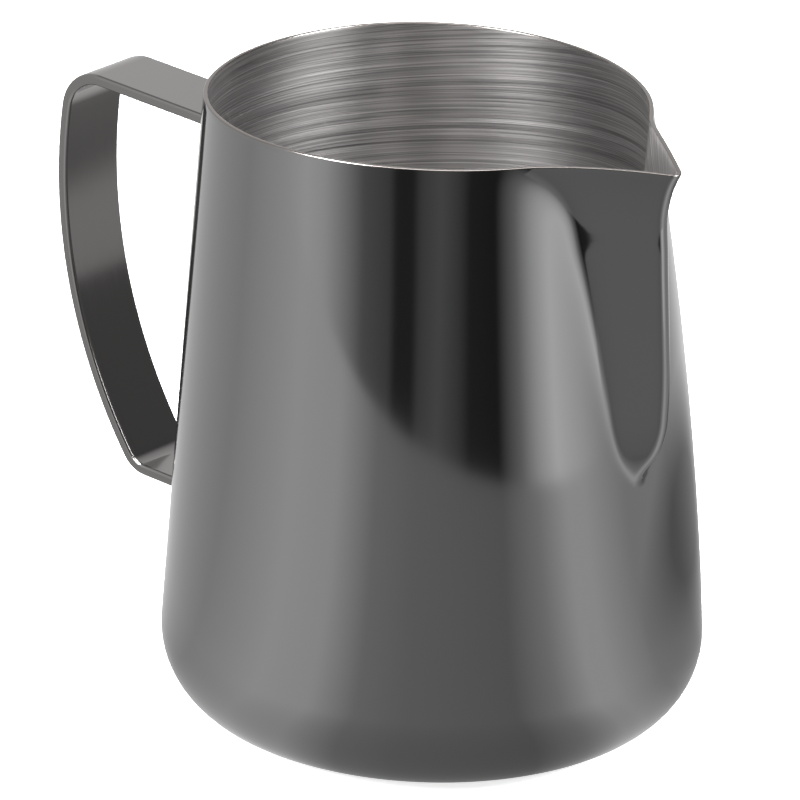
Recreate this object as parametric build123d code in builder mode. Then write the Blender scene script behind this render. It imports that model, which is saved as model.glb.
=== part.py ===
from build123d import *
import os
from math import atan, cos, degrees, pi, radians, sin, sqrt, tan

# Milk frothing pitcher: a one-piece drawn cup with a V spout, a bent strap handle
# and the two weld beads that hold it.  Millimetres, +Z up, the spout points to +X,
# the handle to -X, and the origin is the centre of the base on the table.

# ---- cup ----
cup_height = 110.0
foot_radius = 47.4           # the tapered wall carried down to the table
rim_radius = 41.05           # the tapered wall carried up to the rim, at the back
corner_radius = 14.7         # between the wall and the flat base
wall_thickness = 0.8
floor_thickness = 1.0
recess_radius = 27.0         # the middle of the base is pressed up a little
recess_depth = 0.8
rim_rounding = 0.25

# ---- drawing-in of the cup beside the spout ----
draw_in = 6.2                # how far the rim is pulled in on both sides of the spout
draw_in_start = 20.0         # height where the pull begins
draw_in_power = 1.8
draw_in_full_angle = 50.0    # full pull from the spout to this angle
draw_in_end_angle = 155.0    # no pull from this angle to the handle

# ---- spout ----
spout_tail_height = 57.0
spout_overhang = 16.15       # the wall to the sharp tip, before it is rounded
spout_root = 6.0             # how far its sides carry on inside the wall line
spout_tip_rounding = 1.6
spout_tail_rounding = 4.0
# share of the spout height, share of the reach beyond the wall, half angle of the V
spout_rows = ((-0.08, -0.015, 62.0), (0.15, 0.216, 54.0), (0.34, 0.441, 46.0),
              (0.53, 0.607, 43.5), (0.68, 0.679, 43.0), (0.83, 0.737, 42.0),
              (0.93, 0.856, 40.0), (1.0, 1.0, 37.5), (1.07, 1.19, 36.0))

# ---- handle ----
strap_width = 14.0
strap_thickness = 2.0
strap_edge_rounding = 0.6
leg_rise = 3.4               # both legs climb outward by this angle
upper_leg_drop = 13.4        # rim to the centre of the upper leg, at the foot radius
lower_leg_height = 28.0      # table to the centre of the lower leg, there too
grip_bow_drop = 29.5         # rim to the height where the grip stands farthest out
grip_standout = 31.9         # foot radius to the centre of the strap at that height
heel_standout = 14.68        # foot radius to the corner of the grip and the lower leg
upper_bend_radius = 7.0
lower_bend_radius = 5.0

# ---- welds ----
weld_leg = 1.2
weld_depth = 1.5             # hidden length of the weld block before it is cut

os.makedirs("parts", exist_ok=True)

taper = atan((foot_radius - rim_radius) / cup_height)


def cone_radius(height):
    return foot_radius + (rim_radius - foot_radius) * height / cup_height


def pull_share(angle):
    """Share of the drawing-in at an angle from the spout."""
    if angle <= draw_in_full_angle:
        return 1.0
    if angle >= draw_in_end_angle:
        return 0.0
    step = (angle - draw_in_full_angle) / (draw_in_end_angle - draw_in_full_angle)
    return (1.0 + cos(pi * step)) / 2.0


def wall_radius(angle, height):
    rise = max(0.0, (height - draw_in_start) / (cup_height - draw_in_start))
    return cone_radius(height) - draw_in * pull_share(angle) * rise ** draw_in_power


def wall_point(height, angle, inset):
    """A point of the wall; the inset moves it into the metal, square to the outline."""
    radius = wall_radius(angle, height)
    turn = wall_radius(angle + 0.5, height) - wall_radius(angle - 0.5, height)
    square = radians(angle) - atan(turn / (radius * radians(1.0)))
    x = radius * cos(radians(angle)) - inset * cos(square) / cos(taper)
    y = radius * sin(radians(angle)) - inset * sin(square) / cos(taper)
    return x, y


def wall_outline(height, inset):
    """The closed outline of the wall at one height, seen from the handle side."""
    near = [wall_point(height, angle, inset) for angle in range(165, 14, -15)]
    handle_side = (-wall_point(height, 180.0, inset)[0], 0.0)
    spout_side = (-wall_point(height, 0.0, inset)[0], 0.0)
    left = [(-x, y) for x, y in near]
    right = [(-x, -y) for x, y in reversed(near)]
    return [handle_side] + left + [spout_side] + right


def drawn_wall(inset):
    """The upper cup without its spout, from the plain taper to above the rim."""
    with BuildPart() as upper:
        with BuildSketch(Plane(origin=(0, 0, draw_in_start), x_dir=(-1, 0, 0))):
            Circle(cone_radius(draw_in_start) - inset / cos(taper))
        for step in range(1, 8):
            height = draw_in_start + step * (cup_height - draw_in_start) / 6.5
            with BuildSketch(Plane(origin=(0, 0, height), x_dir=(-1, 0, 0))):
                with BuildLine():
                    outline = wall_outline(height, inset)
                    stations = [place / len(outline) for place in range(len(outline) + 1)]
                    add(Edge.make_spline(outline, periodic=True, parameters=stations))
                make_face()
        loft()
    return upper.part


def pressed_spout(inset):
    """The V of the spout: three-sided sections that grow from the wall to the rim."""
    with BuildPart() as spout:
        for up, out, half_angle in spout_rows:
            height = spout_tail_height + up * (cup_height - spout_tail_height)
            wall = wall_radius(0.0, height)
            tip = wall + out * spout_overhang - inset / sin(radians(half_angle))
            depth = tip - wall + spout_root
            half_width = depth * sin(radians(half_angle)) / cos(radians(half_angle))
            nose = spout_tail_rounding + (spout_tip_rounding - spout_tail_rounding) * up
            with BuildSketch(Plane.XY.offset(height)):
                with BuildLine():
                    Polyline((tip, 0), (tip - depth, half_width), (tip - depth, -half_width),
                             close=True)
                make_face()
                fillet(vertices().sort_by(Axis.X)[-1], nose - inset)
        loft()
    return spout.part


def turned_base(inset, floor):
    """The lower cup: taper, corner and floor, turned about the axis."""
    bend = corner_radius - inset
    centre_height = floor + bend
    centre_radius = cone_radius(centre_height) - (inset + bend) / cos(taper)
    top_radius = cone_radius(draw_in_start) - inset / cos(taper)
    with BuildPart() as lower:
        with BuildSketch(Plane.XZ):
            with BuildLine():
                Line((0, floor), (centre_radius, floor))
                corner = CenterArc((centre_radius, centre_height), bend, -90, 90 + degrees(taper))
                Line(corner @ 1, (top_radius, draw_in_start))
                Line((top_radius, draw_in_start), (0, draw_in_start))
                Line((0, draw_in_start), (0, floor))
            make_face()
        revolve(axis=Axis.Z)
    return lower.part


# ---- cup: outside and cavity, then the shell ----
with BuildPart() as cup_outside:
    add(drawn_wall(0.0))
    add(pressed_spout(0.0))
    split(bisect_by=Plane.XY.offset(cup_height), keep=Keep.BOTTOM)
    add(turned_base(0.0, 0.0))

with BuildPart() as cup_cavity:
    add(drawn_wall(wall_thickness))
    add(pressed_spout(wall_thickness))
    split(bisect_by=Plane.XY.offset(cup_height), keep=Keep.BOTTOM)
    add(turned_base(wall_thickness, floor_thickness))

with BuildPart() as body:
    add(cup_outside.part)
    add(cup_cavity.part, mode=Mode.SUBTRACT)
    with BuildSketch(Plane.XY):
        Circle(recess_radius)
    extrude(amount=recess_depth, mode=Mode.SUBTRACT)
    with BuildSketch(Plane.XY.offset(floor_thickness)):
        Circle(recess_radius - floor_thickness)
    extrude(amount=recess_depth)
    rim_edges = body.faces().sort_by(Axis.Z)[-1].edges()
    fillet(rim_edges, rim_rounding)

body.part.label = "body"


# ---- handle: one flat strap swept along its bends ----
# The grip is an arc that is upright where it stands farthest out and ends at the heel,
# its corner with the lower leg; the upper leg runs out until it meets the same arc.
slope_up = tan(radians(leg_rise))
upper_leg_height = cup_height - upper_leg_drop
grip_bow_height = cup_height - grip_bow_drop
grip_reach = foot_radius + grip_standout
lower_reach = foot_radius + heel_standout
lower_height = lower_leg_height + slope_up * heel_standout
heel_drop = grip_bow_height - lower_height
heel_inset = grip_reach - lower_reach
grip_radius = (heel_drop ** 2 + heel_inset ** 2) / (2.0 * heel_inset)


def leg_meets_grip(leg_height):
    """Corner where a straight leg line crosses the circle of the grip."""
    centre = grip_reach - grip_radius
    below = leg_height - slope_up * foot_radius - grip_bow_height
    a = 1.0 + slope_up ** 2
    b = 2.0 * (slope_up * below - centre)
    c = centre ** 2 + below ** 2 - grip_radius ** 2
    reach = (-b + sqrt(b ** 2 - 4.0 * a * c)) / (2.0 * a)
    return reach, leg_height + slope_up * (reach - foot_radius)


upper_reach, upper_height = leg_meets_grip(upper_leg_height)
leg_start = rim_radius - 4.0 * wall_thickness

with BuildPart() as handle:
    with BuildLine(Plane.XZ) as strap_path:
        Line((-leg_start, upper_height - slope_up * (upper_reach - leg_start)),
             (-upper_reach, upper_height))
        ThreePointArc((-upper_reach, upper_height),
                      (-grip_reach, grip_bow_height),
                      (-lower_reach, lower_height))
        Line((-lower_reach, lower_height),
             (-leg_start, lower_height - slope_up * (lower_reach - leg_start)))
        bends = strap_path.vertices().sort_by(Axis.X)
        upper_bend = bends.sort_by(Axis.Z)[-1]
        fillet(upper_bend, upper_bend_radius)
        lower_bend = strap_path.vertices().sort_by_distance((-lower_reach, 0, lower_height))[0]
        fillet(lower_bend, lower_bend_radius)
    with BuildSketch(Plane(origin=strap_path.wire() @ 0, x_dir=(0, 1, 0), z_dir=strap_path.wire() % 0)):
        RectangleRounded(strap_width, strap_thickness, strap_edge_rounding)
    sweep(path=strap_path.wire())
    add(cup_outside.part, mode=Mode.SUBTRACT)


handle.part.label = "handle"


# ---- welds: a tapered bead round each end of the strap ----
def weld_bead(reach, height):
    """A bead at the wall, on the leg line that ends at this corner of the grip."""
    wall_height = height - slope_up * (reach - foot_radius)
    wall_reach = cone_radius(wall_height)
    wall_height = height - slope_up * (reach - wall_reach)
    outward = (-cos(radians(leg_rise)), 0, sin(radians(leg_rise)))
    spread = 2.0 * (weld_leg + weld_depth)
    with BuildPart() as bead:
        with BuildSketch(Plane(origin=(-wall_reach, 0, wall_height), x_dir=(0, 1, 0),
                               z_dir=outward).offset(-weld_depth)):
            Rectangle(strap_width + spread, strap_thickness + spread)
        extrude(amount=weld_depth + weld_leg, taper=45)
        add(cup_outside.part, mode=Mode.SUBTRACT)
        add(handle.part, mode=Mode.SUBTRACT)
    return bead.part


upper_weld = weld_bead(upper_reach, upper_height)
upper_weld.label = "upper_weld"
lower_weld = weld_bead(lower_reach, lower_height)
lower_weld.label = "lower_weld"

export_step(body.part, "parts/body.step")
export_step(handle.part, "parts/handle.step")
export_step(upper_weld, "parts/upper_weld.step")
export_step(lower_weld, "parts/lower_weld.step")
for piece in (body.part, handle.part, upper_weld, lower_weld):
    print(piece.label, round(piece.volume, 1), "mm3")
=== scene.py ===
# %% [markdown]
# # Milk frothing pitcher
# A steel cup for steaming milk: one drawn shell with a V spout, and a flat strap handle
# welded on opposite the spout.  The outside and the handle carry a thin dark coating, the
# inside is bare brushed steel.  The engineering model is loaded first, and its box is printed.

# %% Load the engineering model
from math import atan, atan2, cos, degrees, pi, radians, sin, sqrt, tan

import bpy
import numpy as np
from mathutils import Matrix, Vector


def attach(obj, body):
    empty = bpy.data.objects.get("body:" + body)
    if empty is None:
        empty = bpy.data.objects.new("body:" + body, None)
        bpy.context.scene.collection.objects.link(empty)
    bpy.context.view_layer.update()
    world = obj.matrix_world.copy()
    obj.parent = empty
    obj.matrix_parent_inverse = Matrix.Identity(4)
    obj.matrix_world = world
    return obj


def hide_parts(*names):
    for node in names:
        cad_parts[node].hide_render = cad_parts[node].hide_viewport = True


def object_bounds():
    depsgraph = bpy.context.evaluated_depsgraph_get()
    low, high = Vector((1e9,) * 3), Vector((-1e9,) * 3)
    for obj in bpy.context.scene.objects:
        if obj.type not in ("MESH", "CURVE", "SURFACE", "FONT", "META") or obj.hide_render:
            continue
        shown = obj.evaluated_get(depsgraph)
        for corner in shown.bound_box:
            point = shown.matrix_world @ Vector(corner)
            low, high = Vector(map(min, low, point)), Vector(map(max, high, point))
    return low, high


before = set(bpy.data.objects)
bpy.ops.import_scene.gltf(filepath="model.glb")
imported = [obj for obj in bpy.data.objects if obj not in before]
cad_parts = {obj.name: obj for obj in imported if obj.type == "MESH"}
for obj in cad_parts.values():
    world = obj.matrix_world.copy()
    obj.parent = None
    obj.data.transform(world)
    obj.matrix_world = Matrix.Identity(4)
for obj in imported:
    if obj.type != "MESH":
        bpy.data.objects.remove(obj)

cad_low, cad_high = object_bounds()
print("engineering box, mm", [round(1000 * v, 1) for v in (*cad_low, *cad_high)])


# %% [markdown]
# ## Small helpers
# Lengths are written in millimetres and colours as sRGB hex, the way a maker reads them,
# and two functions turn them into Blender's metres and linear colours.  The others select,
# name, finish and measure a piece, or add a shader node.

# %% Small helpers
def mm(value):
    return value / 1000.0


def ink(hex_text):
    """An sRGB hex colour as the linear colour that shaders work in."""
    parts = [int(hex_text[i:i + 2], 16) / 255.0 for i in (0, 2, 4)]
    return [c / 12.92 if c <= 0.04045 else ((c + 0.055) / 1.055) ** 2.4 for c in parts] + [1.0]


def node(tree, kind, settings=None, inputs=None, links=None):
    """Adds one shader node with its settings, socket values and incoming links."""
    made = tree.nodes.new(kind)
    for name, value in (settings or {}).items():
        setattr(made, name, value)
    for name, value in (inputs or {}).items():
        made.inputs[name].default_value = value
    for name, source in (links or {}).items():
        tree.links.new(source, made.inputs[name])
    return made


def new_material(name):
    material = bpy.data.materials.new(name)
    material.use_nodes = True
    material.node_tree.nodes.clear()
    return material, material.node_tree


def close_material(tree, shader):
    node(tree, "ShaderNodeOutputMaterial", links={"Surface": shader})


def clear_selection():
    if bpy.context.mode != "OBJECT":
        bpy.ops.object.mode_set(mode="OBJECT")
    bpy.ops.object.select_all(action="DESELECT")


def pick(piece):
    clear_selection()
    piece.select_set(True)
    bpy.context.view_layer.objects.active = piece


def name_piece(name):
    piece = bpy.context.object
    piece.name = name
    piece.data.name = name
    return piece


def place_in_mesh(piece):
    """Moves the object's place and turn into its mesh, as the exported model needs."""
    pick(piece)
    bpy.ops.object.transform_apply(location=True, rotation=True, scale=True)


def apply_modifiers(piece):
    pick(piece)
    for modifier in list(piece.modifiers):
        bpy.ops.object.modifier_apply(modifier=modifier.name)


def points_of(piece):
    """The mesh's points in millimetres."""
    flat = np.empty(len(piece.data.vertices) * 3)
    piece.data.vertices.foreach_get("co", flat)
    return flat.reshape(-1, 3) * 1000.0


def set_points(piece, points):
    piece.data.vertices.foreach_set("co", (np.asarray(points, float) / 1000.0).ravel())
    piece.data.update()


def select_edges(piece, test):
    """Selects the edges whose two end points, in millimetres, both pass the test."""
    passed = [bool(test(Vector(p))) for p in points_of(piece)]
    for polygon in piece.data.polygons:
        polygon.select = False
    for vertex, ok in zip(piece.data.vertices, passed):
        vertex.select = ok
    for edge in piece.data.edges:
        edge.select = all(passed[i] for i in edge.vertices)


# %% [markdown]
# ## Sizes
# The body is drawn over a round punch, so its lower part is a plain taper with a rounded
# foot.  The rim is then pulled towards the spout, which draws the wall in on both sides
# of it.  These are the sizes of that shape in millimetres.  The spout's rows are closer
# together than in the engineering model, so that its ridge stands nearly upright.

# %% Sizes of the cup
CUP_HEIGHT = 110.0
FOOT_RADIUS = 47.4
RIM_RADIUS = 41.05
CORNER_RADIUS = 14.7
WALL = 0.8
RECESS_RADIUS = 27.0
RECESS_DEPTH = 0.8
DRAW_IN = 6.2
DRAW_IN_START = 20.0
DRAW_IN_POWER = 1.8
DRAW_IN_ANGLES = (50.0, 155.0)
TAIL_HEIGHT = 57.0
NOSE_ROUNDING = 1.8
LIP_DROP = 1.2
# share of the spout height, reach of its ridge beyond the wall, half angle of the V
SPOUT_ROWS = [(-0.45, -14.0, 62.0), (-0.25, -7.0, 56.0), (-0.10, -1.0, 48.0), (-0.04, 1.6, 42.0),
              (0.02, 4.2, 37.0), (0.10, 6.2, 34.0), (0.19, 7.2, 33.0), (0.29, 7.9, 34.0),
              (0.42, 8.5, 35.5), (0.55, 9.1, 36.5), (0.70, 9.9, 37.5), (0.85, 11.0, 37.5),
              (0.93, 12.7, 38.5), (1.0, 14.9, 39.5)]
TAPER = atan((FOOT_RADIUS - RIM_RADIUS) / CUP_HEIGHT)


# %% [markdown]
# ## Outline of the cup
# At each height the cup is a circle, drawn in beside the spout, with a rounded V in front.
# The two could be joined by a sharp crease, but pressed sheet always leaves a small
# radius, so the larger of the two is taken with a soft blend between them.

# %% The wall, and the V of the spout
BLEND_AT_TAIL = 0.5
BLEND_GROWTH = 0.7
FULL_BLEND_SHARE = 0.4


def cone_radius(height):
    return FOOT_RADIUS + (RIM_RADIUS - FOOT_RADIUS) * height / CUP_HEIGHT


def wall_radius(angle, height):
    """Radius of the wall without its spout, at angles in radians from the spout."""
    near, far = radians(DRAW_IN_ANGLES[0]), radians(DRAW_IN_ANGLES[1])
    step = np.clip((np.abs(angle) - near) / (far - near), 0.0, 1.0)
    share = (1.0 + np.cos(pi * step)) / 2.0
    rise = max(0.0, (height - DRAW_IN_START) / (CUP_HEIGHT - DRAW_IN_START))
    return cone_radius(height) - DRAW_IN * share * rise ** DRAW_IN_POWER


def spout_row(share):
    """Reach and half angle of the V at a share of the spout height, without kinks."""
    rows = np.array(SPOUT_ROWS)
    slopes = np.gradient(rows[:, 1:], rows[:, 0], axis=0)
    i = int(np.clip(np.searchsorted(rows[:, 0], share) - 1, 0, len(rows) - 2))
    span = rows[i + 1, 0] - rows[i, 0]
    t = (share - rows[i, 0]) / span
    start = (2 * t**3 - 3 * t**2 + 1) * rows[i, 1:] + (t**3 - 2 * t**2 + t) * span * slopes[i]
    end = (3 * t**2 - 2 * t**3) * rows[i + 1, 1:] + (t**3 - t**2) * span * slopes[i + 1]
    return start + end


def spout_radius(angle, height):
    """Distance from the axis to the V at one height."""
    share = (height - TAIL_HEIGHT) / (CUP_HEIGHT - TAIL_HEIGHT)
    out, half_degrees = spout_row(share)
    half = radians(half_degrees)
    centre = float(wall_radius(0.0, height)) + out - NOSE_ROUNDING
    tip = centre + NOSE_ROUNDING / sin(half)
    turn = atan2(NOSE_ROUNDING * cos(half), centre + NOSE_ROUNDING * sin(half))
    side = np.minimum(np.abs(angle), pi / 2 - half)
    flank = tip * sin(half) / np.sin(half + side)
    depth = np.maximum(NOSE_ROUNDING**2 - (centre * np.sin(side)) ** 2, 0.0)
    return np.where(side < turn, centre * np.cos(side) + np.sqrt(depth), flank)


def cup_radius(angle, height):
    """Outside of the cup: the wall and the V, joined by a soft valley."""
    wall = wall_radius(angle, height)
    share = (height - TAIL_HEIGHT) / (CUP_HEIGHT - TAIL_HEIGHT)
    if share < SPOUT_ROWS[0][0]:
        return wall
    spout = spout_radius(angle, height)
    softness = BLEND_AT_TAIL + BLEND_GROWTH * min(1.0, max(0.0, share / FULL_BLEND_SHARE))
    return np.maximum(wall, spout) + softness / 2.0 * np.exp(-np.abs(wall - spout) / softness)


# %% [markdown]
# ## Camera
# A long lens from far off keeps the sides of the cup nearly parallel, the way a catalogue
# picture of a small object is taken.  It looks down about twenty degrees, so that the
# brushed inside shows.

# %% Camera
CAMERA_PLACE = Vector((0.89144, -1.12392, 0.61577))
camera_data = bpy.data.cameras.new("camera")
camera = bpy.data.objects.new("camera", camera_data)
bpy.context.scene.collection.objects.link(camera)
camera_data.sensor_width = 36.0
camera_data.lens = 406.9
camera_data.clip_end = 20.0
view_right = Vector((0.77479, 0.63179, 0.02316)).normalized()
view_back = view_right.cross(Vector((-0.24665, 0.26834, 0.93121))).normalized()
view_up = view_back.cross(view_right)
turn = Matrix((view_right, view_up, view_back)).transposed().to_4x4()
camera.matrix_world = Matrix.Translation(CAMERA_PLACE) @ turn
bpy.context.scene.camera = camera
bpy.context.scene.view_settings.view_transform = "Standard"
camera_azimuth = atan2(CAMERA_PLACE.y, CAMERA_PLACE.x)
print("camera azimuth", round(degrees(camera_azimuth), 1), "lens", camera_data.lens, "mm")


# %% [markdown]
# ## Body shell
# The real cup starts as a disc of steel that a press draws into a cup.  It could be a
# turned profile, but its rim is not round, so the shell is grown from the base instead:
# a disc is extruded ring by ring up the taper, and each ring is then pushed onto the
# outline of the press tool at its height.

# %% Rings of the shell, radius and height
POINTS_AROUND = 300
CORNER_RINGS = 16
WALL_RINGS = 84
bend_centre = cone_radius(CORNER_RADIUS) - CORNER_RADIUS / cos(TAPER)
RECESS_STEP = 1.6
RECESS_RINGS = 6
ring_rows = []
for step in range(RECESS_RINGS + 1):
    blend = (1.0 + cos(pi * step / RECESS_RINGS)) / 2.0
    across_step = RECESS_STEP * step / RECESS_RINGS
    ring_rows.append((RECESS_RADIUS - RECESS_STEP / 2 + across_step, RECESS_DEPTH * blend))
flat_start = ring_rows[-1][0]
for step in (1, 2):
    ring_rows.append((flat_start + (bend_centre - flat_start) * step / 2.0, 0.0))
for step in range(1, CORNER_RINGS + 1):
    lean = (pi / 2 + TAPER) * step / CORNER_RINGS
    ring_rows.append((bend_centre + CORNER_RADIUS * sin(lean), CORNER_RADIUS * (1.0 - cos(lean))))
corner_top = ring_rows[-1][1]
for step in range(1, WALL_RINGS + 1):
    height = corner_top + (CUP_HEIGHT - corner_top) * step / WALL_RINGS
    ring_rows.append((cone_radius(height), height))
print(len(ring_rows), "rings of", POINTS_AROUND, "points")

# %% Grow the shell from a disc
first_radius, first_height = ring_rows[0]
clear_selection()
bpy.ops.mesh.primitive_circle_add(vertices=POINTS_AROUND, radius=mm(first_radius), fill_type="NGON",
                                  location=(0, 0, mm(first_height)))
shell = name_piece("body_shell")
place_in_mesh(shell)
bpy.ops.object.mode_set(mode="EDIT")
bpy.ops.mesh.select_mode(type="FACE")
bpy.ops.mesh.select_all(action="SELECT")
bpy.ops.mesh.inset(thickness=mm(first_radius / 2))
bpy.ops.mesh.inset(thickness=mm(first_radius / 4))
bpy.ops.mesh.poke()
bpy.ops.object.mode_set(mode="OBJECT")
select_edges(shell, lambda p: p.xy.length > first_radius - 0.05)
bpy.ops.object.mode_set(mode="EDIT")
bpy.ops.mesh.select_mode(type="EDGE")
radius, height = first_radius, first_height
for next_radius, next_height in ring_rows[1:]:
    bpy.ops.mesh.extrude_region_move(
        TRANSFORM_OT_translate={"value": (0, 0, mm(next_height - height))})
    grow = next_radius / radius
    bpy.ops.transform.resize(value=(grow, grow, 1.0), center_override=(0, 0, mm(next_height)))
    radius, height = next_radius, next_height
bpy.ops.object.mode_set(mode="OBJECT")
print("shell grown to", len(shell.data.vertices), "points")

# %% [markdown]
# The outline bends most at the spout, so the points of each ring are drawn together
# there before they move out to the press tool.  The same pull on every ring keeps the
# columns of faces straight.

# %% Press the rim and the spout
GATHER = 0.6
points = points_of(shell)
angles = np.arctan2(points[:, 1], points[:, 0])
reach = np.hypot(points[:, 0], points[:, 1])
angles -= GATHER * np.sin(angles)
heights = np.round(points[:, 2], 3)
for height in np.unique(heights[heights > DRAW_IN_START]):
    ring = heights == height
    reach[ring] = cup_radius(angles[ring], float(height))
points[:, 0] = reach * np.cos(angles)
points[:, 1] = reach * np.sin(angles)
# the lip droops a little at its tip
front_wall = RIM_RADIUS - DRAW_IN
beyond = np.clip((points[:, 0] - front_wall) / (cad_high.x * 1000 - front_wall), 0.0, 1.0)
lift = np.clip((points[:, 2] - TAIL_HEIGHT) / (CUP_HEIGHT - TAIL_HEIGHT), 0.0, 1.0)
points[:, 2] -= LIP_DROP * beyond**2 * lift**3
set_points(shell, points)

# %% [markdown]
# Solidify gives the sheet its real 0.8 mm, and puts the inside and the cut edge on
# material slots of their own.  A small bevel then breaks the two arrises of the rim.

# %% Thickness of the sheet
pick(shell)
bpy.ops.object.mode_set(mode="EDIT")
bpy.ops.mesh.select_all(action="SELECT")
bpy.ops.mesh.normals_make_consistent(inside=False)
bpy.ops.object.mode_set(mode="OBJECT")
lowest = min(shell.data.polygons, key=lambda face: face.center.z)
if lowest.normal.z > 0:
    bpy.ops.object.mode_set(mode="EDIT")
    bpy.ops.mesh.select_all(action="SELECT")
    bpy.ops.mesh.flip_normals()
    bpy.ops.object.mode_set(mode="OBJECT")
sheet_points = len(shell.data.vertices)
for slot_name in ("outside", "inside", "rim"):
    shell.data.materials.append(None)
solidify = shell.modifiers.new("sheet", "SOLIDIFY")
solidify.thickness = mm(WALL)
solidify.offset = -1.0
solidify.use_even_offset = True
solidify.material_offset = 1
solidify.material_offset_rim = 2
apply_modifiers(shell)

# %% [markdown]
# The inner arris is brought to the height of the outer one beside it, as a cut square to
# the axis leaves it.  An edge that only one rim face uses is an arris, so those edges are
# marked for the bevel.

# %% Cut edge of the rim
RIM_BREAK = 0.2
points = points_of(shell)
rim_uses = {}
for face in shell.data.polygons:
    if face.material_index == 2:
        corners = list(face.vertices)
        outer = [i for i in corners if i < sheet_points]
        for i in corners:
            nearest = min(outer, key=lambda j: np.hypot(*(points[i] - points[j])[:2]))
            points[i, 2] = points[nearest, 2]
        for key in face.edge_keys:
            rim_uses[key] = rim_uses.get(key, 0) + 1
set_points(shell, points)
weights = shell.data.attributes.new("bevel_weight_edge", "FLOAT", "EDGE")
for edge in shell.data.edges:
    weights.data[edge.index].value = float(rim_uses.get(edge.key, 0) == 1)
bevel = shell.modifiers.new("rim", "BEVEL")
bevel.limit_method = "WEIGHT"
bevel.width = mm(RIM_BREAK)
bevel.segments = 3
bevel.material = 2
apply_modifiers(shell)
bpy.ops.object.shade_smooth_by_angle(angle=radians(50))
shell_points = points_of(shell)
print("shell", len(shell.data.polygons), "faces, box, mm",
      shell_points.min(axis=0).round(1), shell_points.max(axis=0).round(1))


# %% [markdown]
# ## Strap handle
# The handle is one flat bar of steel, bent in two places and bowed along the grip.  It
# could be a curve with a bevel, but the bends of a real bar are true arcs, so it is made
# the way a bender makes it: the bar's end face is extruded along each straight run and
# spun about the centre of each bend.

# %% Sizes of the handle
STRAP_WIDTH = 14.0
STRAP_THICKNESS = 2.0
STRAP_EDGE = 0.6
LEG_RISE = radians(3.4)
UPPER_LEG_HEIGHT = CUP_HEIGHT - 13.4
LOWER_LEG_HEIGHT = 28.0
GRIP_BOW_HEIGHT = CUP_HEIGHT - 29.5
GRIP_REACH = FOOT_RADIUS + 31.9
HEEL = (FOOT_RADIUS + 14.68, LOWER_LEG_HEIGHT + tan(LEG_RISE) * 14.68)
UPPER_BEND = 7.0
LOWER_BEND = 5.0
heel_inset = GRIP_REACH - HEEL[0]
GRIP_RADIUS = ((GRIP_BOW_HEIGHT - HEEL[1]) ** 2 + heel_inset**2) / (2.0 * heel_inset)
GRIP_CENTRE = Vector((-(GRIP_REACH - GRIP_RADIUS), 0.0, GRIP_BOW_HEIGHT))
leg_out = Vector((-cos(LEG_RISE), 0.0, sin(LEG_RISE)))
leg_up = Vector((sin(LEG_RISE), 0.0, cos(LEG_RISE)))


def leg_point(height, reach):
    """A point on the centre line of a leg, at a reach from the axis."""
    return Vector((-reach, 0.0, height + tan(LEG_RISE) * (reach - FOOT_RADIUS)))


def bend_centre_at(leg_height, side, bend):
    """Centre of the bend between a leg and the grip; the side is where it lies, up or down."""
    foot = leg_point(leg_height, 0.0) + side * bend * leg_up - GRIP_CENTRE
    along = foot.dot(leg_out)
    far = (GRIP_RADIUS - bend) ** 2 - foot.length_squared
    return GRIP_CENTRE + foot + leg_out * (sqrt(along**2 + far) - along)


def wall_meets_leg(leg_height):
    """Reach of the cup wall where a leg's centre line arrives."""
    reach = cone_radius(leg_height)
    return cone_radius(leg_point(leg_height, reach).z)


upper_centre = bend_centre_at(UPPER_LEG_HEIGHT, -1, UPPER_BEND)
lower_centre = bend_centre_at(LOWER_LEG_HEIGHT, 1, LOWER_BEND)
upper_on_grip = (upper_centre - GRIP_CENTRE).normalized()
lower_on_grip = (lower_centre - GRIP_CENTRE).normalized()
END_IN_WALL = 0.65
upper_start = leg_point(UPPER_LEG_HEIGHT, wall_meets_leg(UPPER_LEG_HEIGHT) - END_IN_WALL)
lower_end = leg_point(LOWER_LEG_HEIGHT, wall_meets_leg(LOWER_LEG_HEIGHT) - END_IN_WALL)
print("grip radius, mm", round(GRIP_RADIUS, 1))
print("legs start at", round(-upper_start.x, 1), "and", round(-lower_end.x, 1), "from the axis")


# %% [markdown]
# The bar is followed from the upper weld to the lower one: a straight run, a bend, the
# long bow of the grip, a second bend and the last run.  Spin repeats the end face about
# the centre of each bend, so every bend is a true arc.

# %% Bend the bar
UPPER_BEND_STEPS = 14
GRIP_STEPS = 44
LOWER_BEND_STEPS = 10


def run_to(start, end):
    bpy.ops.mesh.extrude_region_move(TRANSFORM_OT_translate={"value": (end - start) / 1000.0})


def bend_about(centre, angle, steps):
    bpy.ops.mesh.spin(steps=steps, angle=angle, center=centre / 1000.0, axis=(0, 1, 0))


clear_selection()
bpy.ops.mesh.primitive_plane_add(size=1.0, location=upper_start / 1000.0,
                                 rotation=(0, -pi / 2 + LEG_RISE, 0))
strap = name_piece("handle_strap")
strap.dimensions = (mm(STRAP_THICKNESS), mm(STRAP_WIDTH), 0)
place_in_mesh(strap)
bpy.ops.object.mode_set(mode="EDIT")
bpy.ops.mesh.select_mode(type="FACE")
bpy.ops.mesh.select_all(action="SELECT")
bend_start = upper_centre + UPPER_BEND * leg_up
run_to(upper_start, bend_start)
bend_about(upper_centre, leg_up.angle(upper_on_grip), UPPER_BEND_STEPS)
bend_about(GRIP_CENTRE, upper_on_grip.angle(lower_on_grip), GRIP_STEPS)
bend_about(lower_centre, lower_on_grip.angle(-leg_up), LOWER_BEND_STEPS)
run_to(lower_centre - LOWER_BEND * leg_up, lower_end)
bpy.ops.mesh.select_all(action="SELECT")
bpy.ops.mesh.remove_doubles(threshold=mm(0.001))
bpy.ops.mesh.normals_make_consistent(inside=False)
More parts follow.
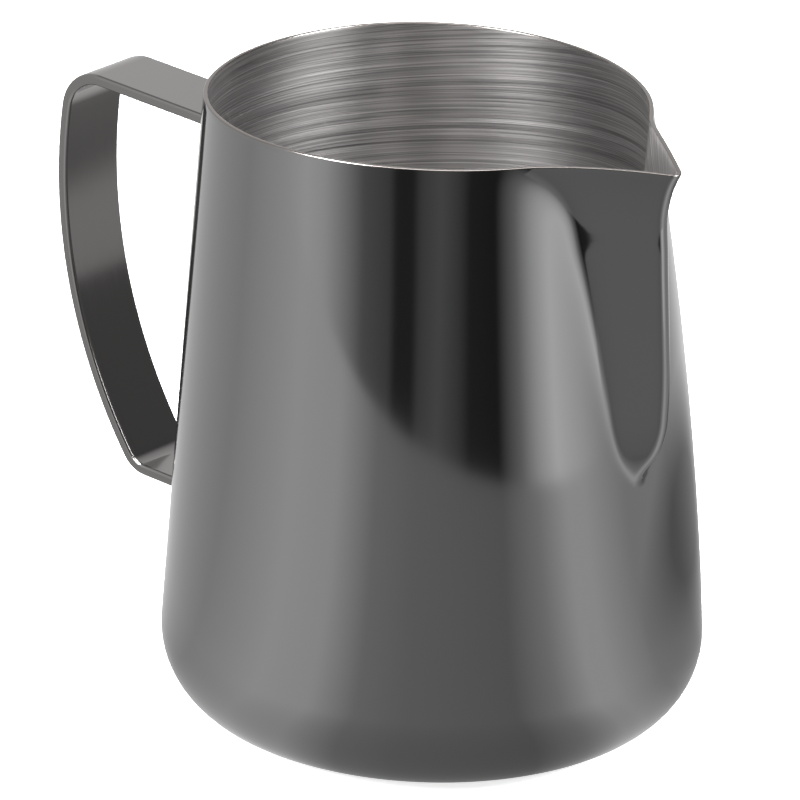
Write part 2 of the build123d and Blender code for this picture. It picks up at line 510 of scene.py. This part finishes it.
bpy.ops.object.mode_set(mode="OBJECT")
strap_points = points_of(strap)
print("bar, box, mm", strap_points.min(axis=0).round(1), strap_points.max(axis=0).round(1))

# %% [markdown]
# Flat bar is rolled with its edges slightly rounded, which is what a hand feels and what
# draws the thin light line along the handle.  A bevel of the long edges gives that.

# %% Round the long edges of the bar
bpy.ops.object.shade_smooth()
bevel = strap.modifiers.new("edges", "BEVEL")
bevel.limit_method = "ANGLE"
bevel.angle_limit = radians(60)
bevel.width = mm(STRAP_EDGE)
bevel.segments = 4
bevel.harden_normals = True
apply_modifiers(strap)
print("strap", len(strap.data.polygons), "faces")


# %% [markdown]
# ## Weld beads
# Each leg is joined to the cup by a bead of filler that is ground and polished into a
# small hollow fillet before the coating.  A face as large as the whole bead is inset to the
# leg's outline, which leaves a flange on the wall; the outline is then extruded a little
# way up the leg, and a bevel of the corner between the two makes the hollow.

# %% Weld beads
BEAD_LEG = 1.2
BEAD_SHEET = 0.35
HOLLOW_SHARE = 0.95


def weld_bead(name, leg_height):
    reach = wall_meets_leg(leg_height)
    start = leg_point(leg_height, reach)
    clear_selection()
    bpy.ops.mesh.primitive_plane_add(size=1.0, location=start / 1000.0,
                                     rotation=(0, -pi / 2 + LEG_RISE, 0))
    bead = name_piece(name)
    bead.dimensions = (mm(STRAP_THICKNESS + 2 * BEAD_LEG), mm(STRAP_WIDTH + 2 * BEAD_LEG), 0)
    place_in_mesh(bead)
    bpy.ops.object.mode_set(mode="EDIT")
    bpy.ops.mesh.select_mode(type="VERT")
    bpy.ops.mesh.select_all(action="SELECT")
    bpy.ops.mesh.bevel(offset=mm(STRAP_EDGE + BEAD_LEG), segments=5, affect="VERTICES")
    bpy.ops.mesh.select_mode(type="FACE")
    bpy.ops.mesh.select_all(action="SELECT")
    bpy.ops.mesh.inset(thickness=mm(BEAD_LEG))
    bpy.ops.mesh.delete(type="ONLY_FACE")
    bpy.ops.object.mode_set(mode="OBJECT")

    def on_leg(p):
        beside = abs((p - start).dot(leg_up)) < STRAP_THICKNESS / 2 + 0.1
        return beside and abs(p.y) < STRAP_WIDTH / 2 + 0.1

    select_edges(bead, on_leg)
    bpy.ops.object.mode_set(mode="EDIT")
    bpy.ops.mesh.select_mode(type="EDGE")
    bpy.ops.mesh.extrude_region_move(TRANSFORM_OT_translate={"value": leg_out * mm(BEAD_LEG)})
    bpy.ops.object.mode_set(mode="OBJECT")
    select_edges(bead, lambda p: on_leg(p) and (p - start).dot(leg_out) < 0.1)
    bpy.ops.object.mode_set(mode="EDIT")
    bpy.ops.mesh.bevel(offset=mm(BEAD_LEG * HOLLOW_SHARE), segments=6, affect="EDGES")
    bpy.ops.mesh.select_all(action="SELECT")
    bpy.ops.mesh.subdivide(number_cuts=1)
    bpy.ops.mesh.normals_make_consistent(inside=False)
    bpy.ops.object.mode_set(mode="OBJECT")
    # the flat bead is laid round the cup: each point goes in by the wall's depth beside the leg
    points = points_of(bead)
    points[:, 0] += reach - np.sqrt(reach**2 - points[:, 1] ** 2)
    set_points(bead, points)
    solidify = bead.modifiers.new("root", "SOLIDIFY")
    solidify.thickness = mm(BEAD_SHEET)
    solidify.offset = -1.0
    apply_modifiers(bead)
    bpy.ops.object.shade_smooth_by_angle(angle=radians(60))
    return bead


upper_bead = weld_bead("upper_bead", UPPER_LEG_HEIGHT)
lower_bead = weld_bead("lower_bead", LOWER_LEG_HEIGHT)
for bead in (upper_bead, lower_bead):
    corners = points_of(bead)
    print(bead.name, len(corners), "points, box, mm",
          corners.min(axis=0).round(2), corners.max(axis=0).round(2))


# %% [markdown]
# ## Finishes
# The dark coating is deposited as a vapour in a vacuum chamber over polished steel, so it
# is a mirror with a dark grey tint, not a paint: metallic, very smooth, and only slightly
# uneven where the polishing wheel passed.

# %% Vapour-coated polished steel
coated, tree = new_material("black_pvd_on_polished_steel")
place = node(tree, "ShaderNodeTexCoord").outputs["Object"]
# the polishing wheel leaves soft waves about 20 mm long
waves = node(tree, "ShaderNodeTexNoise", inputs={"Scale": 45.0, "Detail": 1.0}, links={"Vector": place})
haze = node(tree, "ShaderNodeMapRange", inputs={"To Min": 0.05, "To Max": 0.10},
            links={"Value": waves.outputs["Fac"]})
coat_bump = node(tree, "ShaderNodeBump", inputs={"Strength": 0.5, "Distance": mm(0.06)},
                 links={"Height": waves.outputs["Fac"]})
shader = node(tree, "ShaderNodeBsdfPrincipled",
              inputs={"Base Color": ink("909090"), "Metallic": 1.0},
              links={"Roughness": haze.outputs["Result"], "Normal": coat_bump.outputs["Normal"]})
close_material(tree, shader.outputs["BSDF"])

# %% [markdown]
# The inside is left as it comes from the brushing wheel while the cup turns: bare steel
# with lines that run round it.  On the wall the lines follow the height, on the floor the
# distance from the axis.  Light spreads across brush lines, so the highlights stretch up
# and down the wall.

# %% Brushed raw steel
brushed, tree = new_material("brushed_raw_steel")
place = node(tree, "ShaderNodeTexCoord").outputs["Object"]
axes = node(tree, "ShaderNodeSeparateXYZ", links={"Vector": place})
flat_place = node(tree, "ShaderNodeVectorMath", {"operation": "MULTIPLY"},
                  links={"Vector": place})
flat_place.inputs[1].default_value = (1.0, 1.0, 0.0)
radius_out = node(tree, "ShaderNodeVectorMath", {"operation": "LENGTH"},
                  links={"Vector": flat_place.outputs["Vector"]})
climb = node(tree, "ShaderNodeMath", {"operation": "ADD"})
tree.links.new(axes.outputs["Z"], climb.inputs[0])
tree.links.new(radius_out.outputs["Value"], climb.inputs[1])
# real brush lines are a tenth of a millimetre wide; these are about 0.25 mm, so that they
# show, and some 40 mm long
LINES_PER_METRE = 4200.0
LINE_LENGTHS_PER_METRE = 24.0
across = node(tree, "ShaderNodeMath", {"operation": "MULTIPLY"}, {1: LINES_PER_METRE},
              links={0: climb.outputs["Value"]})
along = node(tree, "ShaderNodeVectorMath", {"operation": "SCALE"}, {"Scale": LINE_LENGTHS_PER_METRE},
             links={0: flat_place.outputs["Vector"]})
lift_line = node(tree, "ShaderNodeCombineXYZ", links={"Z": across.outputs["Value"]})
brush_place = node(tree, "ShaderNodeVectorMath", {"operation": "ADD"},
                   links={0: along.outputs["Vector"], 1: lift_line.outputs["Vector"]})
lines = node(tree, "ShaderNodeTexNoise", inputs={"Scale": 1.0, "Detail": 2.0, "Roughness": 0.6},
             links={"Vector": brush_place.outputs["Vector"]})
broad = node(tree, "ShaderNodeTexNoise", inputs={"Scale": 0.22, "Detail": 2.0},
             links={"Vector": brush_place.outputs["Vector"]})
tone = node(tree, "ShaderNodeValToRGB", links={"Fac": lines.outputs["Fac"]})
tone.color_ramp.elements[0].position = 0.30
tone.color_ramp.elements[0].color = ink("8A8888")
tone.color_ramp.elements[1].position = 0.72
tone.color_ramp.elements[1].color = ink("E6E4E3")
grain = node(tree, "ShaderNodeMapRange", inputs={"To Min": 0.22, "To Max": 0.42},
             links={"Value": broad.outputs["Fac"]})
brush_bump = node(tree, "ShaderNodeBump", inputs={"Strength": 0.25, "Distance": mm(0.05)},
                  links={"Height": lines.outputs["Fac"]})
around = node(tree, "ShaderNodeTangent", {"direction_type": "RADIAL", "axis": "Z"})
shader = node(tree, "ShaderNodeBsdfPrincipled",
              inputs={"Metallic": 1.0, "Anisotropic": 0.7, "Anisotropic Rotation": 0.25},
              links={"Base Color": tone.outputs["Color"], "Roughness": grain.outputs["Result"],
                     "Normal": brush_bump.outputs["Normal"], "Tangent": around.outputs["Tangent"]})
close_material(tree, shader.outputs["BSDF"])

# %% [markdown]
# The rim is trimmed after coating and then polished, so a thin line of bright steel runs
# round the mouth.

# %% Polished rim
bright, tree = new_material("polished_bare_steel_edge")
place = node(tree, "ShaderNodeTexCoord").outputs["Object"]
nicks = node(tree, "ShaderNodeTexNoise", inputs={"Scale": 600.0, "Detail": 2.0}, links={"Vector": place})
edge_haze = node(tree, "ShaderNodeMapRange", inputs={"To Min": 0.14, "To Max": 0.26},
                 links={"Value": nicks.outputs["Fac"]})
shader = node(tree, "ShaderNodeBsdfPrincipled",
              inputs={"Base Color": ink("86817E"), "Metallic": 1.0},
              links={"Roughness": edge_haze.outputs["Result"]})
close_material(tree, shader.outputs["BSDF"])

# %% [markdown]
# The strap is belt-finished before it is coated, so it is the same dark tint with a satin
# face: fine lines along the bar that blur what it reflects.

# %% Satin coated strap
satin, tree = new_material("black_pvd_on_satin_steel")
place = node(tree, "ShaderNodeTexCoord").outputs["Object"]
# belt lines run along the bar, so the pattern changes fast across it and slowly along it
stretch = node(tree, "ShaderNodeMapping", links={"Vector": place})
stretch.inputs["Scale"].default_value = (60.0, 3000.0, 60.0)
belt = node(tree, "ShaderNodeTexNoise", inputs={"Scale": 1.0, "Detail": 3.0},
            links={"Vector": stretch.outputs["Vector"]})
belt_haze = node(tree, "ShaderNodeMapRange", inputs={"To Min": 0.10, "To Max": 0.18},
                 links={"Value": belt.outputs["Fac"]})
belt_bump = node(tree, "ShaderNodeBump", inputs={"Strength": 0.08, "Distance": mm(0.03)},
                 links={"Height": belt.outputs["Fac"]})
shader = node(tree, "ShaderNodeBsdfPrincipled",
              inputs={"Base Color": ink("8E8C8B"), "Metallic": 1.0},
              links={"Roughness": belt_haze.outputs["Result"], "Normal": belt_bump.outputs["Normal"]})
close_material(tree, shader.outputs["BSDF"])

# %% [markdown]
# Solidify left three slots on the shell: outside, inside and cut edge.  The strap and both
# beads are coated together, so they share one finish.

# %% Put the finishes on
shell.data.materials[0] = coated
shell.data.materials[1] = brushed
shell.data.materials[2] = bright
for piece, finish in ((strap, satin), (upper_bead, satin), (lower_bead, satin)):
    piece.data.materials.append(finish)
    print(piece.name, "is", finish.name)


# %% [markdown]
# ## Riding and replacing
# Nothing moves on this object, so every piece rides on the one body and stands in for
# the engineering solid of the same thing.

# %% Ride and replace
for piece, cad_name, slot_name in ((shell, "body", "body"), (strap, "handle", "handle"),
                                   (upper_bead, "upper_weld", "weld"),
                                   (lower_bead, "lower_weld", "weld")):
    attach(piece, "root")
    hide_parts(cad_name)
    print(piece.name, "replaces", cad_name)


# %% [markdown]
# ## Floor and backdrop
# A mirror shows its surroundings, so the studio matters as much as the finish.  The floor
# is plain and near white, and a large white dome stands behind the cup.  The dome is for
# the lens only: the metal sees a dimmer room, as in a studio with its walls in shade.

# %% White floor and backdrop
FLOOR_SIZE = 6.0
FLOOR_GLOW = 0.75
ROOM_LIGHT = 0.35
BACKDROP_RADIUS = 6.0
clear_selection()
bpy.ops.mesh.primitive_plane_add(size=FLOOR_SIZE, location=(0, 0, 0))
floor = name_piece("floor")
floor_paint, tree = new_material("matt_white_floor")
white = node(tree, "ShaderNodeBsdfDiffuse", inputs={"Color": ink("F4F4F4")})
lift = node(tree, "ShaderNodeEmission", inputs={"Color": ink("FFFFFF"), "Strength": FLOOR_GLOW})
both = node(tree, "ShaderNodeAddShader")
tree.links.new(white.outputs["BSDF"], both.inputs[0])
tree.links.new(lift.outputs["Emission"], both.inputs[1])
close_material(tree, both.outputs["Shader"])
floor.data.materials.append(floor_paint)
floor.visible_glossy = False

world = bpy.data.worlds.new("studio")
bpy.context.scene.world = world
world.use_nodes = True
world.node_tree.nodes["Background"].inputs["Color"].default_value = ink("FFFFFF")
world.node_tree.nodes["Background"].inputs["Strength"].default_value = ROOM_LIGHT

clear_selection()
bpy.ops.mesh.primitive_uv_sphere_add(segments=48, ring_count=24, radius=BACKDROP_RADIUS)
backdrop = name_piece("backdrop")
backdrop_paint, tree = new_material("white_backdrop")
white = node(tree, "ShaderNodeEmission", inputs={"Color": ink("FFFFFF"), "Strength": 1.0})
close_material(tree, white.outputs["Emission"])
backdrop.data.materials.append(backdrop_paint)
backdrop.visible_glossy = False
backdrop.visible_diffuse = False
backdrop.visible_shadow = False


# %% [markdown]
# The metal sees a glowing card in place of the floor, painted with the reflection it should show:
# bright at the sides and dark towards the lens, as a studio floor looks from low down.  It could
# be one flat grey, but then a mirror looks like plastic.  One painted ramp holds for the floor close
# to the cup, and a second one, with painted reflections of dark stands and the bright gaps between
# them, for the floor farther out.

# %% Turn about the cup, and the card
def round_the_lens(tree):
    """Place, distance from the axis, and turn from the lens direction as 0 to 1."""
    place = node(tree, "ShaderNodeTexCoord").outputs["Object"]
    faced = node(tree, "ShaderNodeMapping", links={"Vector": place})
    faced.inputs["Rotation"].default_value = (0, 0, -camera_azimuth)
    axes = node(tree, "ShaderNodeSeparateXYZ", links={"Vector": faced.outputs["Vector"]})
    azimuth = node(tree, "ShaderNodeMath", {"operation": "ARCTAN2"},
                   links={0: axes.outputs["Y"], 1: axes.outputs["X"]})
    turned = node(tree, "ShaderNodeMapRange", inputs={"From Min": -pi, "From Max": pi},
                  links={"Value": azimuth.outputs["Value"]})
    away = node(tree, "ShaderNodeVectorMath", {"operation": "LENGTH"}, links={"Vector": place})
    return place, away, turned


CARD_SIZE = 6.0
clear_selection()
bpy.ops.mesh.primitive_plane_add(size=CARD_SIZE, location=(0, 0, mm(0.2)))
card = name_piece("reflection_card")
card.visible_camera = False
card.visible_diffuse = False
card.visible_shadow = False
card.visible_transmission = False
# the card glows with painted reflection tones and is no lamp
card_light, tree = new_material("painted_reflection_card_glow")
place, away, around_card = round_the_lens(tree)


def graded(rows):
    """A ramp round the card: degrees from the lens direction, and brightness there."""
    ramp = node(tree, "ShaderNodeValToRGB", links={"Fac": around_card.outputs["Result"]})
    ramp.color_ramp.interpolation = "LINEAR"
    while len(ramp.color_ramp.elements) < len(rows):
        ramp.color_ramp.elements.new(0.5)
    for element, (turned, bright_there) in zip(ramp.color_ramp.elements, rows):
        element.position = (turned + 180.0) / 360.0
        element.color = (bright_there, bright_there, bright_there, 1.0)
    return ramp.outputs["Color"]


# %% Painted reflection brightness round the card
near_card = graded([(-180, 0.85), (-139, 0.79), (-94, 0.60), (-60, 0.89), (-40, 0.82), (-24, 0.42),
                    (-8, 0.34), (28, 0.28), (43, 0.50), (56, 0.86), (64, 0.86), (85, 0.54),
                    (115, 0.52), (147, 0.88), (180, 0.85)])
far_rows = [(-180, 0.85), (-139, 0.79), (-94, 0.62), (-79, 0.70), (-59, 0.95), (-50, 0.84), (-41, 0.52),
            (-32, 0.20), (-21, 0.13), (-18, 0.04), (-11, 0.04), (-8, 0.13), (0, 0.19), (9, 0.11),
            (14, 0.04), (27, 0.03), (31, 0.16), (37, 0.35), (45, 0.85), (53, 1.25), (66, 0.95)]
far_card = graded(far_rows + [(82, 0.52), (115, 0.52), (147, 0.88), (180, 0.85)])
# the near floor is a disc whose centre lies left of the cup, so it ends farther to the left
NEAR_CENTRE_LEFT = 0.239
NEAR_RADIUS = 0.555
NEAR_FADE = 0.025
from_left = node(tree, "ShaderNodeVectorMath", {"operation": "DISTANCE"}, links={0: place})
from_left.inputs[1].default_value = -NEAR_CENTRE_LEFT * view_right
out_there = node(tree, "ShaderNodeMapRange",
                 inputs={"From Min": NEAR_RADIUS, "From Max": NEAR_RADIUS + NEAR_FADE},
                 links={"Value": from_left.outputs["Value"]})
blend = node(tree, "ShaderNodeMix", {"data_type": "RGBA"}, links={"Factor": out_there.outputs["Result"]})
tree.links.new(near_card, blend.inputs["A"])
tree.links.new(far_card, blend.inputs["B"])

# %% [markdown]
# The card carries a painted shadow of the cup: darker close round its foot, and more so on the
# side away from the lights.  Both painted shades are distances on the card, mapped to a share of its
# brightness.

# %% Painted shadow of the cup on the card
foot_shade = node(tree, "ShaderNodeMapRange",
                  inputs={"From Min": mm(50), "From Max": mm(90), "To Min": 0.85},
                  links={"Value": away.outputs["Value"]})
from_shadow = node(tree, "ShaderNodeVectorMath", {"operation": "DISTANCE"}, links={0: place})
from_shadow.inputs[1].default_value = (mm(40), mm(140), 0.0)
cast_shade = node(tree, "ShaderNodeMapRange",
                  inputs={"From Min": mm(40), "From Max": mm(100), "To Min": 0.40},
                  links={"Value": from_shadow.outputs["Value"]})
shade = node(tree, "ShaderNodeMath", {"operation": "MULTIPLY"},
             links={0: foot_shade.outputs["Result"], 1: cast_shade.outputs["Result"]})
# the painted shade dims the card's glow
glow = node(tree, "ShaderNodeEmission",
            links={"Color": blend.outputs["Result"], "Strength": shade.outputs["Value"]})
close_material(tree, glow.outputs["Emission"])
card.data.materials.append(card_light)

# %% [markdown]
# Above the floor the metal sees a painted reflection of the studio's wall, darker still beside and
# behind the lens.  An open cylinder round the cup glows with these painted tones, and no other ray meets
# it.

# %% Painted reflection of the studio wall, on a glowing screen
SCREEN_RADIUS = 2.0
SCREEN_HEIGHT = 2.4
clear_selection()
bpy.ops.mesh.primitive_cylinder_add(vertices=128, radius=SCREEN_RADIUS, depth=SCREEN_HEIGHT,
                                    end_fill_type="NOTHING", location=(0, 0, SCREEN_HEIGHT / 2))
screen = name_piece("reflection_screen")
place_in_mesh(screen)
screen.visible_camera = False
screen.visible_diffuse = False
screen.visible_shadow = False
screen.visible_transmission = False
# the screen glows with painted reflection tones and is no lamp
screen_light, tree = new_material("painted_reflection_screen_glow")
around_card = round_the_lens(tree)[2]
screen_tone = graded(far_rows + [(80, 0.16), (125, 0.12), (147, 0.60), (180, 0.85)])
glow = node(tree, "ShaderNodeEmission", links={"Color": screen_tone})
close_material(tree, glow.outputs["Emission"])
screen.data.materials.append(screen_light)


# %% [markdown]
# ## Lights
# Two tall soft boxes stand left and right of the lens and a square one hangs overhead.
# Large lamps close to a metal object give it the wide soft bands it is known by; small
# ones would only leave sparks.

# %% Soft boxes
AIM = Vector((0, 0, 0.06))


def soft_box(name, turned, raised, distance, size, power):
    """A soft box at degrees round from the lens and up from the floor, aimed at the cup."""
    light = bpy.data.lights.new(name, "AREA")
    light.shape = "RECTANGLE"
    light.size, light.size_y = size
    light.energy = power
    box = bpy.data.objects.new(name, light)
    bpy.context.scene.collection.objects.link(box)
    heading = camera_azimuth + radians(turned)
    box.location = distance * Vector((cos(heading) * cos(radians(raised)),
                                      sin(heading) * cos(radians(raised)), sin(radians(raised))))
    box.rotation_euler = (box.location - AIM).to_track_quat("Z", "Y").to_euler()
    print(name, "at", box.location[:], "power, W", power)


soft_box("left_soft_box", -52, 42, 1.2, (0.45, 0.8), 34.0)
soft_box("right_soft_box", 72, 42, 1.2, (0.42, 0.8), 34.0)
soft_box("top_soft_box", 10, 80, 1.4, (0.8, 0.8), 12.0)
